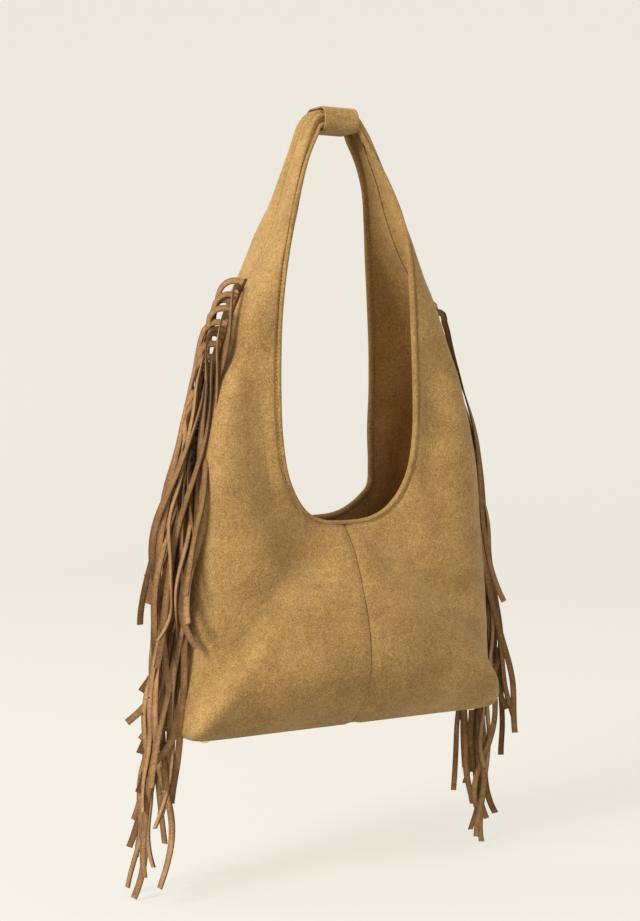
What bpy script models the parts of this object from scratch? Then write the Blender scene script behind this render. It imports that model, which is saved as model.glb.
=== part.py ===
"""Fringed slouchy shoulder bag: the construction model.

The bag is two suede halves at the front and two at the back, sewn at a centre seam, closed at the
sides by seams that each hold a cut fringe strip, and closed below by a flat base with a stiffener
board and four metal feet. Both tall openings carry a folded edge binding. The two arms of the body
run up into one handle and meet inside a suede keeper band.

Units are metres, +Z is up, +X is to the right seen from the front, and the front faces -Y. The
origin is the middle of the keeper's flat underside, the face a hook or a hand carries.
"""

import math

import bmesh
import bpy
import numpy as np

MM = 0.001

# Heights are measured from the base while the shapes are worked out, and moved to the origin last.
KEEPER_UNDERSIDE = 518.0 * MM

# Material thicknesses and the gap left between neighbouring pieces.
SUEDE = 1.6 * MM
LINING = 0.7 * MM
TAPE = 0.7 * MM
FRINGE_SUEDE = 1.2 * MM
GAP = 0.3 * MM
SEAM_GAP = 0.35 * MM
FRINGE_SEAM_GAP = FRINGE_SUEDE / 2 + GAP

# The edge binding, measured along the suede from the raw edge.
BINDING_WIDTH = 4.0 * MM
BINDING_CLEARANCE = 0.65 * MM

# The base.
BASE_WIDTH = 310.0 * MM
BASE_DEPTH = 90.0 * MM
BASE_CORNER = 22.0 * MM
BOARD_THICKNESS = 2.0 * MM
FOOT_X = 136.0 * MM
FOOT_Y = 30.0 * MM
FOOT_RADIUS = 5.5 * MM
FOOT_HEIGHT = 5.0 * MM
SHANK_RADIUS = 1.5 * MM

# The keeper band that closes over the handle.
KEEPER_LENGTH = 34.0 * MM
KEEPER_DEPTH = 38.0 * MM
KEEPER_HEIGHT = 24.0 * MM
KEEPER_CORNER = 5.0 * MM

# The cut fringe.
STRANDS = 36
STRAND_PITCH = 7.5 * MM
STRAND_WIDTH = 7.0 * MM
STRAND_LENGTH = 275.0 * MM
FRINGE_TOP = 378.0 * MM
HEADER_OUT = 3.0 * MM
LANES = (-20.0, 4.0, -12.0, 20.0, -4.0, 12.0)
LANE_START = 11.0 * MM
LAYER_PITCH = 2.1 * MM
FLARE = 26.0 * MM

# Grid fineness of the sewn shell, across from the opening edge to the outer seam.
COLUMNS = 5

# One quarter of the shell, front right, as cross lines from the opening edge to the outer seam:
# opening edge point, handle leaving it, outer seam point, handle leaving that. Millimetres.
STATIONS = (
    ((0, -14.2, 523.0), (0, 0.0, 9.0), (0, 0, 539.0), (0, -11, 0)),
    ((17.5, -14.4, 522.4), (1, 0.0, 9.0), (19, 0, 538.2), (0, -11, 0)),
    ((24, -19, 512), (3.5, -2.0, 6.5), (30, 0, 526), (2, -13, 1)),
    ((34, -26, 494), (5, -1.0, 5), (39, 0, 505), (2.5, -15, 1)),
    ((44, -33, 471), (6, 3.0, 2), (50, 0, 480), (3, -17, 0)),
    ((53, -37, 445), (7, 4.0, 1), (61, 0, 450), (3.5, -19, 0)),
    ((60, -38, 413), (11, 0.0, 0), (75, 0, 417), (2, -21, 0)),
    ((64.5, -38, 377), (20, -1, 0), (98, 0, 380), (1, -25, 0)),
    ((67, -38, 336), (34, -2, 0), (119, 0, 334), (0, -29, 0)),
    ((68, -39, 292), (45, -3, -4), (135, 0, 280), (1, -33, 0)),
    ((67, -40, 254), (52, -8, -12), (148, 0, 215), (2, -38, 0)),
    ((62, -39.5, 223), (52, -16, -32), (156, 0, 140), (4, -42, 2)),
    ((53.5, -38, 203), (52, -23, -54), (158.5, 0, 70), (6, -45, 5)),
    ((45, -36, 191.5), (56, -28, -72), (157, 0, 25), (9, -47, 9)),
    ((37.5, -34.5, 185), (66, -32, -88), (155, 0, 0), (13, -52, 14)),
    ((30, -33, 181), (59, -37, -88), (155, -23, 0), (12, -38, 17)),
    ((23, -32, 178.8), (48, -41, -83), (148.6, -38.6, 0), (9.4, -35.4, 24)),
    ((15.5, -31, 177.4), (30, -44, -70), (133, -45, 0), (1, -39, 31)),
    ((8, -30.5, 176.9), (12, -45, -53), (75, -45, 0), (0, -53, 38)),
    ((0, -30.3, 176.7), (0, -45, -42), (0, -45, 0), (0, -56, 43)),
)
BASE_STATION = 14  # the station whose outer seam point is where the side seam meets the base


def clear_scene():
    """Remove every object, so that the script can be run again."""
    for obj in list(bpy.data.objects):
        bpy.data.objects.remove(obj, do_unlink=True)


def make_collection(name):
    """Return a new collection linked to the scene."""
    collection = bpy.data.collections.new(name)
    bpy.context.scene.collection.children.link(collection)
    return collection


def make_material(name, colour, roughness, metallic=0.0):
    """Return a Principled material of one colour."""
    material = bpy.data.materials.new(name)
    material.use_nodes = True
    shader = material.node_tree.nodes["Principled BSDF"]
    shader.inputs["Base Color"].default_value = (*colour, 1.0)
    shader.inputs["Roughness"].default_value = roughness
    shader.inputs["Metallic"].default_value = metallic
    material.diffuse_color = (*colour, 1.0)
    return material


def catmull_rom(points, at):
    """Return the point at a fractional index of a smooth curve through the points."""
    points = np.asarray(points, dtype=float)
    last = len(points) - 1
    i = min(int(at), last - 1)
    t = at - i
    p1, p2 = points[i], points[i + 1]
    p0 = points[i - 1] if i > 0 else 2 * p1 - p2
    p3 = points[i + 2] if i + 2 <= last else 2 * p2 - p1
    return 0.5 * (
        2 * p1
        + (p2 - p0) * t
        + (2 * p0 - 5 * p1 + 4 * p2 - p3) * t**2
        + (3 * p1 - p0 - 3 * p2 + p3) * t**3
    )


def bezier(points, t):
    """Return the point at t of a cubic Bezier line."""
    a, b, c, d = points
    s = 1 - t
    return a * s**3 + 3 * b * s**2 * t + 3 * c * s * t**2 + d * t**3


class QuarterShell:
    """The outer face of one quarter of the sewn shell, front right.

    A point is found by a station number, 0 at the top of the handle to the last at the front centre,
    and by t, 0 on the opening edge to 1 on the outer seam.
    """

    def __init__(self, stations):
        table = np.array(stations, dtype=float) * MM
        self.edge = table[:, 0]
        self.seam = table[:, 2]
        self.controls = np.stack(
            [table[:, 0], table[:, 0] + table[:, 1], table[:, 2] + table[:, 3], table[:, 2]], axis=1
        )
        self.last = len(table) - 1

    def point(self, at, t):
        """Return the outer face's point at station number at, and t across."""
        at = min(max(at, 0.0), float(self.last))
        line = [catmull_rom(self.controls[:, k], at) for k in range(4)]
        return bezier(line, t)

    def normal(self, at, t):
        """Return the outward normal, square to the two planes of symmetry on the seams."""
        step = 0.02
        down = self.point(min(at + step, self.last), t) - self.point(max(at - step, 0.0), t)
        across = self.point(at, min(t + step, 1.0)) - self.point(at, max(t - step, 0.0))
        n = np.cross(down, across)
        if at <= 0.0 or at >= self.last:
            n[0] = 0.0
        if t >= 1.0 and at <= BASE_STATION:
            n[1] = 0.0
        return n / np.linalg.norm(n)

    def inside(self, at, t, depth):
        """Return the point this deep under the outer face, or proud of it for a negative depth."""
        return self.point(at, t) - depth * self.normal(at, t)

    def t_at_distance(self, at, distance):
        """Return t where the line across has run this distance from the opening edge."""
        run, t, step = 0.0, 0.0, 0.005
        here = self.point(at, 0.0)
        while run < distance and t < 1.0:
            there = self.point(at, t + step)
            run += float(np.linalg.norm(there - here))
            here, t = there, t + step
        return t


SHELL = QuarterShell(STATIONS)
TIGHT_BENDS = (1.5, 2.5, 3.5, 5.5, 14.5, 15.5, 16.5)


def row_stations():
    """Return the station numbers of the grid rows: every station, and halves in the tight bends."""
    return sorted([float(i) for i in range(SHELL.last + 1)] + list(TIGHT_BENDS))


def seam_gap(point):
    """Return how far a panel's edge stands off the side seam's plane: more where the fringe is held."""
    low = FRINGE_TOP - STRANDS * STRAND_PITCH
    fade = 14 * MM
    z = point[2]
    if z > FRINGE_TOP:
        share = 1 - min((z - FRINGE_TOP) / fade, 1.0)
    elif z < low:
        share = 1 - min((low - z) / fade, 1.0)
    else:
        share = 1.0
    return SEAM_GAP + share * (FRINGE_SEAM_GAP - SEAM_GAP)


def shell_grid(depth, centre_gap, apex_gap):
    """Return rows of points of one quarter at this depth under the outer face.

    centre_gap is the distance kept from x = 0 at the front centre, and apex_gap the same at the top
    of the handle. Each line starts just clear of the binding's fold, its next point is just past the
    binding's edge, and the rest are evenly spread to the seam.
    """
    rows = []
    for at in row_stations():
        start = SHELL.t_at_distance(at, BINDING_CLEARANCE)
        second = SHELL.t_at_distance(at, BINDING_WIDTH + 0.8 * MM)
        across = [second + (1 - second) * j / (COLUMNS - 1) for j in range(COLUMNS)]
        row = []
        for t in [start, *across]:
            p = SHELL.inside(at, t, depth)
            if at == 0.0:
                p[0] = apex_gap
            elif at == SHELL.last:
                p[0] = centre_gap
            else:
                p[0] = max(p[0], centre_gap)
            if at <= BASE_STATION:
                p[1] = min(p[1], -seam_gap(p))
            row.append(p)
        rows.append(row)
    return rows


def two_triangles(bm, a, b, c, d, first_diagonal):
    """Add the quad a, b, c, d as two triangles, split a to c or b to d, so that layers match."""
    if first_diagonal:
        bm.faces.new((a, b, c))
        bm.faces.new((a, c, d))
    else:
        bm.faces.new((a, b, d))
        bm.faces.new((b, c, d))


def finish_mesh(bm, name, flip):
    """Return the mesh of a bmesh, turned inside out first where the piece is a reflection."""
    if flip:
        bmesh.ops.reverse_faces(bm, faces=bm.faces[:])
    mesh = bpy.data.meshes.new(name)
    bm.to_mesh(mesh)
    bm.free()
    return mesh


def closed_shell(name, outer, inner, flip=False):
    """Return the closed mesh between two matching lofts, the outer face and the inner face.

    A piece of an odd number of rows that runs on past the middle is split evenly about it.
    """
    count, width = len(outer), len(outer[0])
    middle = count // 2 if count > 2 * len(row_stations()) - 3 else count
    bm = bmesh.new()
    layers = [[[bm.verts.new(p) for p in row] for row in rows] for rows in (outer, inner)]
    for number, grid in enumerate(layers):
        for i in range(count - 1):
            for j in range(width - 1):
                a, b = grid[i][j], grid[i + 1][j]
                c, d = grid[i + 1][j + 1], grid[i][j + 1]
                if number == 0:
                    two_triangles(bm, a, b, c, d, i < middle)
                else:
                    two_triangles(bm, a, d, c, b, i < middle)
    rim = [(0, j) for j in range(width)] + [(i, width - 1) for i in range(1, count)]
    rim += [(count - 1, j) for j in range(width - 2, -1, -1)] + [(i, 0) for i in range(count - 2, 0, -1)]
    for (i, j), (k, m) in zip(rim, rim[1:] + rim[:1]):
        bm.faces.new([layers[0][i][j], layers[0][k][m], layers[1][k][m], layers[1][i][j]])
    return finish_mesh(bm, name, flip)


def swept_ring(name, sections, flip=False):
    """Return the closed mesh of a channel section carried round a closed path."""
    bm = bmesh.new()
    rings = [[bm.verts.new(p) for p in section] for section in sections]
    for here, there in zip(rings, rings[1:] + rings[:1]):
        for j in range(len(here)):
            k = (j + 1) % len(here)
            two_triangles(bm, here[j], there[j], there[k], here[k], j in (0, 1, 2, 6, 7))
    return finish_mesh(bm, name, flip)


def mirrored_rows(rows, x=1, y=1):
    """Return the rows reflected in the planes whose factor is -1."""
    factor = np.array((x, y, 1.0))
    return [[p * factor for p in row] for row in rows]


def add_solidify(obj, thickness, offset):
    """Give an open surface its thickness."""
    modifier = obj.modifiers.new("Thickness", "SOLIDIFY")
    modifier.thickness = thickness
    modifier.offset = offset
    modifier.use_even_offset = False
    return modifier


def place(obj, collection, material):
    """Link an object, give it its material, and move it from base heights to the hanging origin."""
    collection.objects.link(obj)
    obj.data.materials.append(material)
    obj.location.z -= KEEPER_UNDERSIDE
    return obj


def smooth(mesh, angle=math.radians(50)):
    """Shade a mesh smooth, keeping its real edges sharp."""
    mesh.shade_smooth()
    mesh.set_sharp_from_angle(angle=angle)


def make_panel(name, x_side, y_side, collection, material):
    """Make one suede quarter: an arm of the handle and half of the front or of the back."""
    faces = [mirrored_rows(shell_grid(depth, GAP, GAP), x_side, y_side) for depth in (0.0, SUEDE)]
    mesh = closed_shell(name, *faces, flip=x_side * y_side < 0)
    smooth(mesh)
    return place(bpy.data.objects.new(name, mesh), collection, material)


def make_lining(name, y_side, collection, material):
    """Make the front or back lining, one piece from arm to arm, lying just inside the suede."""
    faces = []
    for depth in (SUEDE + GAP, SUEDE + GAP + LINING):
        right = mirrored_rows(shell_grid(depth, 0.0, GAP), 1, y_side)
        left = mirrored_rows(right[:-1], -1, 1)
        faces.append(right + left[::-1])
    mesh = closed_shell(name, *faces, flip=y_side < 0)
    smooth(mesh)
    return place(bpy.data.objects.new(name, mesh), collection, material)


def binding_section(at):
    """Return the channel section that wraps the raw edge at one station, a closed line of points."""
    under = SUEDE + GAP + LINING
    outside = (-BINDING_CLEARANCE - TAPE, -BINDING_CLEARANCE)
    inside = (under + BINDING_CLEARANCE, under + BINDING_CLEARANCE + TAPE)
    reach = (BINDING_WIDTH, BINDING_WIDTH / 2, 0.0)
    on_centre = at in (0.0, float(SHELL.last))
    along = SHELL.point(at, 0.02) - SHELL.point(at, 0.0)
    along /= np.linalg.norm(along)
    if on_centre:
        along[0] = 0.0
    places = [(d, outside[0], 0.0 if d else TAPE) for d in reach]
    places += [(d, inside[1], 0.0 if d else TAPE) for d in reach[::-1]]
    places += [(d, inside[0], 0.0) for d in reach]
    places += [(d, outside[1], 0.0) for d in reach[::-1]]
    section = []
    for distance, depth, past in places:
        p = SHELL.inside(at, SHELL.t_at_distance(at, distance), depth) - past * along
        p[0] = 0.0 if on_centre else max(p[0], 0.0)
        section.append(p)
    return section


def make_binding(name, y_side, collection, material):
    """Make the folded tape that wraps one opening's edge, a channel that runs right round it."""
    right = [binding_section(at) for at in row_stations()]
    left = mirrored_rows(right[1:-1], -1, 1)
    mesh = swept_ring(name, mirrored_rows(right + left[::-1], 1, y_side), flip=y_side > 0)
    smooth(mesh)
    return place(bpy.data.objects.new(name, mesh), collection, material)


def rounded_outline(width, depth, radius, steps=5):
    """Return the points of a rounded rectangle, anticlockwise."""
    points = []
    for quarter, (sx, sy) in enumerate(((1, 1), (-1, 1), (-1, -1), (1, -1))):
        cx, cy = sx * (width / 2 - radius), sy * (depth / 2 - radius)
        for k in range(steps + 1):
            angle = math.pi / 2 * (quarter + k / steps)
            points.append((cx + radius * math.cos(angle), cy + radius * math.sin(angle)))
    return points


def circle_outline(centre, radius, steps=8):
    """Return the points of a circle."""
    angles = [2 * math.pi * k / steps for k in range(steps)]
    return [(centre[0] + radius * math.cos(a), centre[1] + radius * math.sin(a)) for a in angles]


def flat_curve(name, outlines, thickness):
    """Return a flat curve object: the first outline is the edge and the rest are holes."""
    curve = bpy.data.curves.new(name, "CURVE")
    curve.dimensions = "2D"
    curve.fill_mode = "BOTH"
    curve.extrude = thickness / 2
    for outline in outlines:
        spline = curve.splines.new("POLY")
        spline.points.add(len(outline) - 1)
        for point, (x, y) in zip(spline.points, outline):
            point.co = (x, y, 0.0, 1.0)
        spline.use_cyclic_u = True
    return bpy.data.objects.new(name, curve)


def base_outline(inset):
    """Return the base's outline, this far inside the foot of the walls, following their facets."""
    quarter = []
    for at in row_stations():
        if at >= BASE_STATION:
            p = SHELL.point(at, 1.0)
            share = (1 - inset / (BASE_WIDTH / 2), 1 - inset / (BASE_DEPTH / 2))
            quarter.append((p[0] * share[0], p[1] * share[1]))
    right = quarter[::-1] + [(x, -y) for x, y in quarter[1:]]
    return right + [(-x, y) for x, y in right[-2:0:-1]]


def foot_centres():
    """Return the four feet's names and places on the base."""
    return (
        ("front_left", -FOOT_X, -FOOT_Y),
        ("front_right", FOOT_X, -FOOT_Y),
        ("back_left", -FOOT_X, FOOT_Y),
        ("back_right", FOOT_X, FOOT_Y),
    )


def make_base(collection, suede, board, cloth):
    """Make the suede base, the stiffener board on it, and the lining that covers them.

    The base lies inside the walls' lower edges, with the lining's edge caught between them.
    """
    holes = [circle_outline((x, y), SHANK_RADIUS + GAP) for _, x, y in foot_centres()]

    inset = SUEDE + LINING + 6 * GAP
    panel = flat_curve("base_panel", [base_outline(inset), *holes], SUEDE)
    panel.location.z = SUEDE / 2
    place(panel, collection, suede)

    stiffener = flat_curve("base_board", [base_outline(5 * MM), *holes], BOARD_THICKNESS)
    stiffener.location.z = SUEDE + GAP + BOARD_THICKNESS / 2
    place(stiffener, collection, board)

    cover = flat_curve("lining_base", [base_outline(6 * MM)], LINING)
    cover.location.z = SUEDE + BOARD_THICKNESS + 5 * GAP + 1.6 * MM + LINING / 2
    place(cover, collection, cloth)


def turned(name, profile, steps):
    """Return a round object from a profile of (radius, height) points, top to bottom."""
    mesh = bpy.data.meshes.new(name)
    points = [(radius, 0.0, height) for radius, height in profile]
    mesh.from_pydata(points, [(i, i + 1) for i in range(len(points) - 1)], [])
    obj = bpy.data.objects.new(name, mesh)
    modifier = obj.modifiers.new("Turned", "SCREW")
    modifier.axis = "Z"
    modifier.steps = steps
    modifier.render_steps = steps
    modifier.use_merge_vertices = True
    modifier.merge_threshold = 0.00001
    modifier.use_smooth_shade = True
    return obj


def make_feet(collection, metal, washer_metal):
    """Make the domed feet, each with the shank that passes the base, and their washers."""
    top = SUEDE + GAP + BOARD_THICKNESS + 2 * GAP + 1.0 * MM
    dome = []
    for k in range(1, 5):
        angle = math.pi / 2 * k / 4
        height = -GAP - FOOT_HEIGHT * math.sin(angle)
        dome.append((FOOT_RADIUS * math.cos(angle) if k < 4 else 0.0, height))
    profile = [
        (0.0, top),
        (SHANK_RADIUS, top),
        (SHANK_RADIUS, -GAP),
        (FOOT_RADIUS, -GAP),
        *dome,
    ]
    low = SUEDE + GAP + BOARD_THICKNESS + GAP
    inner, outer, thick = SHANK_RADIUS + GAP, 4.5 * MM, 0.8 * MM
    ring = [(inner, low + thick), (outer, low + thick), (outer, low), (inner, low), (inner, low + thick)]
    for side, x, y in foot_centres():
        foot = turned(f"foot_{side}", profile, 14)
        foot.location = (x, y, 0.0)
        place(foot, collection, metal)
        washer = turned(f"foot_washer_{side}", ring, 12)
        washer.location = (x, y, 0.0)
        place(washer, collection, washer_metal)


def make_keeper(collection, material):
    """Make the wrapped band round the handle, a short tube along X with a flat underside."""
    outer = rounded_outline(KEEPER_DEPTH, KEEPER_HEIGHT, KEEPER_CORNER)
    inner = rounded_outline(
        KEEPER_DEPTH - 2 * SUEDE, KEEPER_HEIGHT - 2 * SUEDE, KEEPER_CORNER - SUEDE
    )
    keeper = flat_curve("handle_keeper", [outer, inner], KEEPER_LENGTH)
    keeper.rotation_euler = (math.pi / 2, 0.0, math.pi / 2)
    keeper.location.z = KEEPER_UNDERSIDE + KEEPER_HEIGHT / 2
    place(keeper, collection, material)


class SeamLine:
    """The side seam in the plane y = 0, as arc length down from the fringe's top, carried on below.

    A place beside it is an offset out from the seam, a run down it, and a y.
    """

    def __init__(self):
        fine = [SHELL.point(BASE_STATION * i / 300, 1.0) for i in range(301)]
        line = [p for p in fine if p[2] <= FRINGE_TOP + 30 * MM]
        lowest = line[-1]
        line += [lowest - np.array((0.0, 0.0, 10 * MM * k)) for k in range(1, 25)]
        self.points = np.array(line)
        steps = np.linalg.norm(np.diff(self.points, axis=0), axis=1)
        run = np.concatenate([[0.0], np.cumsum(steps)])
        start = np.interp(-FRINGE_TOP, -self.points[:, 2], run)
        self.run = run - start

    def at(self, run):
        """Return the seam's point this far down it."""
        x = np.interp(run, self.run, self.points[:, 0])
        z = np.interp(run, self.run, self.points[:, 2])
        return np.array((x, 0.0, z))

    def beside(self, out, run, y):
        """Return the point beside the seam."""
        span = 25 * MM
        tangent = self.at(run + span) - self.at(run - span)
        tangent /= np.linalg.norm(tangent)
        normal = np.array((-tangent[2], 0.0, tangent[0]))
        return self.at(run) + out * normal + np.array((0.0, y, 0.0))


def strand_places(index):
    """Return one strand's cross lines as (out, run, y, turn) from its root to its tip.

    The strand leaves the seam with its width along the seam, turns until its width lies along Y,
    bends over, and hangs in its own lane, outside the strands whose roots are below it.
    """
    lane = LANES[index % len(LANES)] * MM
    below = (STRANDS - 1 - index) // len(LANES)
    drop = LANE_START + below * LAYER_PITCH
    root = (index + 0.5) * STRAND_PITCH
    places = [
        (HEADER_OUT, root, 0.0, 0.0),
        (5.5 * MM, root, 0.45 * lane, 40.0),
        (8.0 * MM, root + 0.2 * MM, 0.95 * lane, 80.0),
        (drop - 1.2 * MM, root + 2.0 * MM, lane, 90.0),
        (drop, root + 6.5 * MM, lane, 90.0),
    ]
    flat = sum(
        math.dist(a[:3], b[:3]) for a, b in zip(places, places[1:])
    )
    tip = root + 6.5 * MM + STRAND_LENGTH - flat
    grid = 44.0 * MM
    run = (math.floor(places[-1][1] / grid) + 1) * grid
    while run < tip - 8 * MM:
        if run > places[-1][1] + 6 * MM:
            places.append((drop, run, lane, 90.0))
        run += grid
    places.append((drop, tip, lane, 90.0))
    return [(out + flare(run), run, y, turn) for out, run, y, turn in places]


def flare(run):
    """Return how much further out the strands hang lower down, where they spread."""
    start = 300 * MM
    return FLARE * max(0.0, (run - start) / (210 * MM)) ** 1.3


def make_fringe(name, x_side, collection, material):
    """Make one side's fringe: a header strip held in the seam, cut into strands that drape over."""
    seam = SeamLine()
    half = STRAND_WIDTH / 2
    points, faces = [], []

    def add(p):
        points.append((p[0] * x_side, p[1], p[2]))
        return len(points) - 1

    before = None
    for index in range(STRANDS):
        root = (index + 0.5) * STRAND_PITCH
        inner = [add(seam.beside(-SUEDE, root + side * half, 0.0)) for side in (-1, 1)]
        outer = [add(seam.beside(HEADER_OUT, root + side * half, 0.0)) for side in (-1, 1)]
        if before:
            faces.append((before[0], inner[0], outer[0], before[1]))
        faces.append((inner[0], inner[1], outer[1], outer[0]))
        before = (inner[1], outer[1])
        last = outer
        for out, run, y, turn in strand_places(index)[1:]:
            turned_by = math.radians(turn)
            ds, dy = half * math.cos(turned_by), half * math.sin(turned_by)
            pair = [add(seam.beside(out, run + k * ds, y + k * dy)) for k in (-1, 1)]
            faces.append((last[0], last[1], pair[1], pair[0]))
            last = pair
    mesh = bpy.data.meshes.new(name)
    mesh.from_pydata(points, [], faces)
    mesh.validate()
    smooth(mesh)
    obj = bpy.data.objects.new(name, mesh)
    add_solidify(obj, FRINGE_SUEDE, 0.0)
    return place(obj, collection, material)


def main():
    """Build every piece of the bag."""
    clear_scene()
    parts = make_collection("fringed_shoulder_bag")
    suede = (0.52, 0.335, 0.125)

    for name, x_side, y_side in (
        ("front_panel_left", -1, 1),
        ("front_panel_right", 1, 1),
        ("back_panel_left", -1, -1),
        ("back_panel_right", 1, -1),
    ):
        make_panel(name, x_side, y_side, parts, make_material(f"{name}_suede", suede, 0.95))

    cloth = (0.23, 0.125, 0.045)
    make_lining("lining_front", 1, parts, make_material("lining_front_cloth", cloth, 0.9))
    make_lining("lining_back", -1, parts, make_material("lining_back_cloth", cloth, 0.9))

    tape = (0.46, 0.29, 0.10)
    make_binding("front_opening_binding", 1, parts, make_material("front_tape", tape, 0.95))
    make_binding("back_opening_binding", -1, parts, make_material("back_tape", tape, 0.95))

    make_base(
        parts,
        make_material("base_suede", suede, 0.95),
        make_material("base_board_fibre", (0.12, 0.10, 0.08), 0.8),
        make_material("lining_base_cloth", cloth, 0.9),
    )
    gold = make_material("foot_gold", (0.78, 0.62, 0.33), 0.3, 1.0)
    steel = make_material("washer_steel", (0.55, 0.55, 0.54), 0.4, 1.0)
    make_feet(parts, gold, steel)
    make_keeper(parts, make_material("keeper_suede", suede, 0.95))

    strand = (0.40, 0.235, 0.095)
    make_fringe("left_fringe", -1, parts, make_material("left_fringe_suede", strand, 0.95))
    make_fringe("right_fringe", 1, parts, make_material("right_fringe_suede", strand, 0.95))


main()
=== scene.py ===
"""Looks of the fringed suede shoulder bag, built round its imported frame.

The sewn shell, its edge tapes, the lining, the keeper band, the base with its feet and the two cut
fringes are modelled here in metres, in the row frame: +Z up, the front facing -Y, and the origin on
the underside of the keeper.
"""

import logging
import math
from dataclasses import dataclass, field
from enum import Enum
from typing import Sequence

import bmesh
import bpy
import numpy as np
from mathutils import Matrix, Vector, noise


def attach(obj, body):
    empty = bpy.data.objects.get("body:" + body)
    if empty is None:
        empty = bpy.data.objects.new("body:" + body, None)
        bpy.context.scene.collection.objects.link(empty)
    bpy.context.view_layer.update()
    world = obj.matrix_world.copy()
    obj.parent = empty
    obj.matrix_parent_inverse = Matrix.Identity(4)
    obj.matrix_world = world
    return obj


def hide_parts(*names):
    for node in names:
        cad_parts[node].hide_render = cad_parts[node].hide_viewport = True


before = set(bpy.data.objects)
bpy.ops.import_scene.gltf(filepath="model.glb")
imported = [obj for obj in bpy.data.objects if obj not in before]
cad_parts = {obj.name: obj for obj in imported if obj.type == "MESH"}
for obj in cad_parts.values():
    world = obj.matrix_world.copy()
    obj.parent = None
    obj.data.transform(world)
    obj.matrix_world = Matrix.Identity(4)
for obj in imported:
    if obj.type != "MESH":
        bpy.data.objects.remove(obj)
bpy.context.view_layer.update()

LOG = logging.getLogger("fringed_bag")
MM = 0.001
BASE_DROP = 518.0 * MM  # the base lies this far below the keeper's underside


class Side(Enum):
    """Which half of the bag a piece belongs to, as the sign of its x."""

    LEFT = -1
    RIGHT = 1


class Face(Enum):
    """Front or back of the bag, as the sign that turns the front's shape into it."""

    FRONT = 1
    BACK = -1


# ---- Finishes ----


class NodeBench:
    """A small helper that lays out and joins the nodes of one material."""

    def __init__(self, name: str) -> None:
        """Start an empty Principled material.

        Args:
            name: The material's name.
        """
        self.material = bpy.data.materials.new(name)
        self.material.use_nodes = True
        self.tree = self.material.node_tree
        self.shader = self.tree.nodes["Principled BSDF"]
        self.place = self.add("ShaderNodeTexCoord").outputs["Object"]

    def add(self, kind: str, **settings: object) -> bpy.types.Node:
        """Add a node and set its plain properties.

        Args:
            kind: The node's type name.
            **settings: Properties to set on it.

        Returns:
            The new node.
        """
        node = self.tree.nodes.new(kind)
        for key, value in settings.items():
            setattr(node, key, value)
        return node

    def preset(self, node: bpy.types.Node, values: dict[str, object]) -> None:
        """Set a node's inputs, by name, to constants."""
        for key, value in values.items():
            node.inputs[key].default_value = value

    def link(self, out: bpy.types.NodeSocket, into: bpy.types.NodeSocket) -> None:
        """Join two sockets."""
        self.tree.links.new(out, into)

    def noise(self, scale: float, detail: float, roughness: float = 0.55) -> bpy.types.NodeSocket:
        """Add a noise pattern on object coordinates.

        Args:
            scale: Features per metre.
            detail: Octaves.
            roughness: Share of the finer octaves.

        Returns:
            The pattern's value socket.
        """
        node = self.add("ShaderNodeTexNoise")
        self.preset(node, {"Scale": scale, "Detail": detail, "Roughness": roughness})
        self.link(self.place, node.inputs["Vector"])
        return node.outputs["Fac"]

    def ramp(
        self, value: bpy.types.NodeSocket, stops: Sequence[tuple[float, tuple[float, float, float]]]
    ) -> bpy.types.NodeSocket:
        """Colour a value through a ramp.

        Args:
            value: The value socket.
            stops: Positions and linear colours.

        Returns:
            The colour socket.
        """
        node = self.add("ShaderNodeValToRGB")
        band = node.color_ramp
        while len(band.elements) < len(stops):
            band.elements.new(0.5)
        for element, (position, colour) in zip(band.elements, stops):
            element.position = position
            element.color = (*colour, 1.0)
        self.link(value, node.inputs["Fac"])
        return node.outputs["Color"]

    def mix(
        self,
        a: bpy.types.NodeSocket,
        b: bpy.types.NodeSocket,
        factor: float,
        blend: str = "MIX",
    ) -> bpy.types.NodeSocket:
        """Mix two colours by a constant factor.

        Args:
            a: The first colour.
            b: The second colour.
            factor: The share of the second.
            blend: The blend type.

        Returns:
            The mixed colour socket.
        """
        node = self.add("ShaderNodeMix", data_type="RGBA", blend_type=blend)
        node.inputs[0].default_value = factor
        self.link(a, node.inputs[6])
        self.link(b, node.inputs[7])
        return node.outputs[2]

    def bump(self, layers: Sequence[tuple[bpy.types.NodeSocket, float]]) -> bpy.types.NodeSocket:
        """Stack bump layers.

        Args:
            layers: Height sockets, each with its height in metres.

        Returns:
            The normal socket.
        """
        normal = None
        for height, distance in layers:
            node = self.add("ShaderNodeBump")
            self.preset(node, {"Strength": 1.0, "Distance": distance})
            self.link(height, node.inputs["Height"])
            if normal is not None:
                self.link(normal, node.inputs["Normal"])
            normal = node.outputs["Normal"]
        return normal


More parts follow.
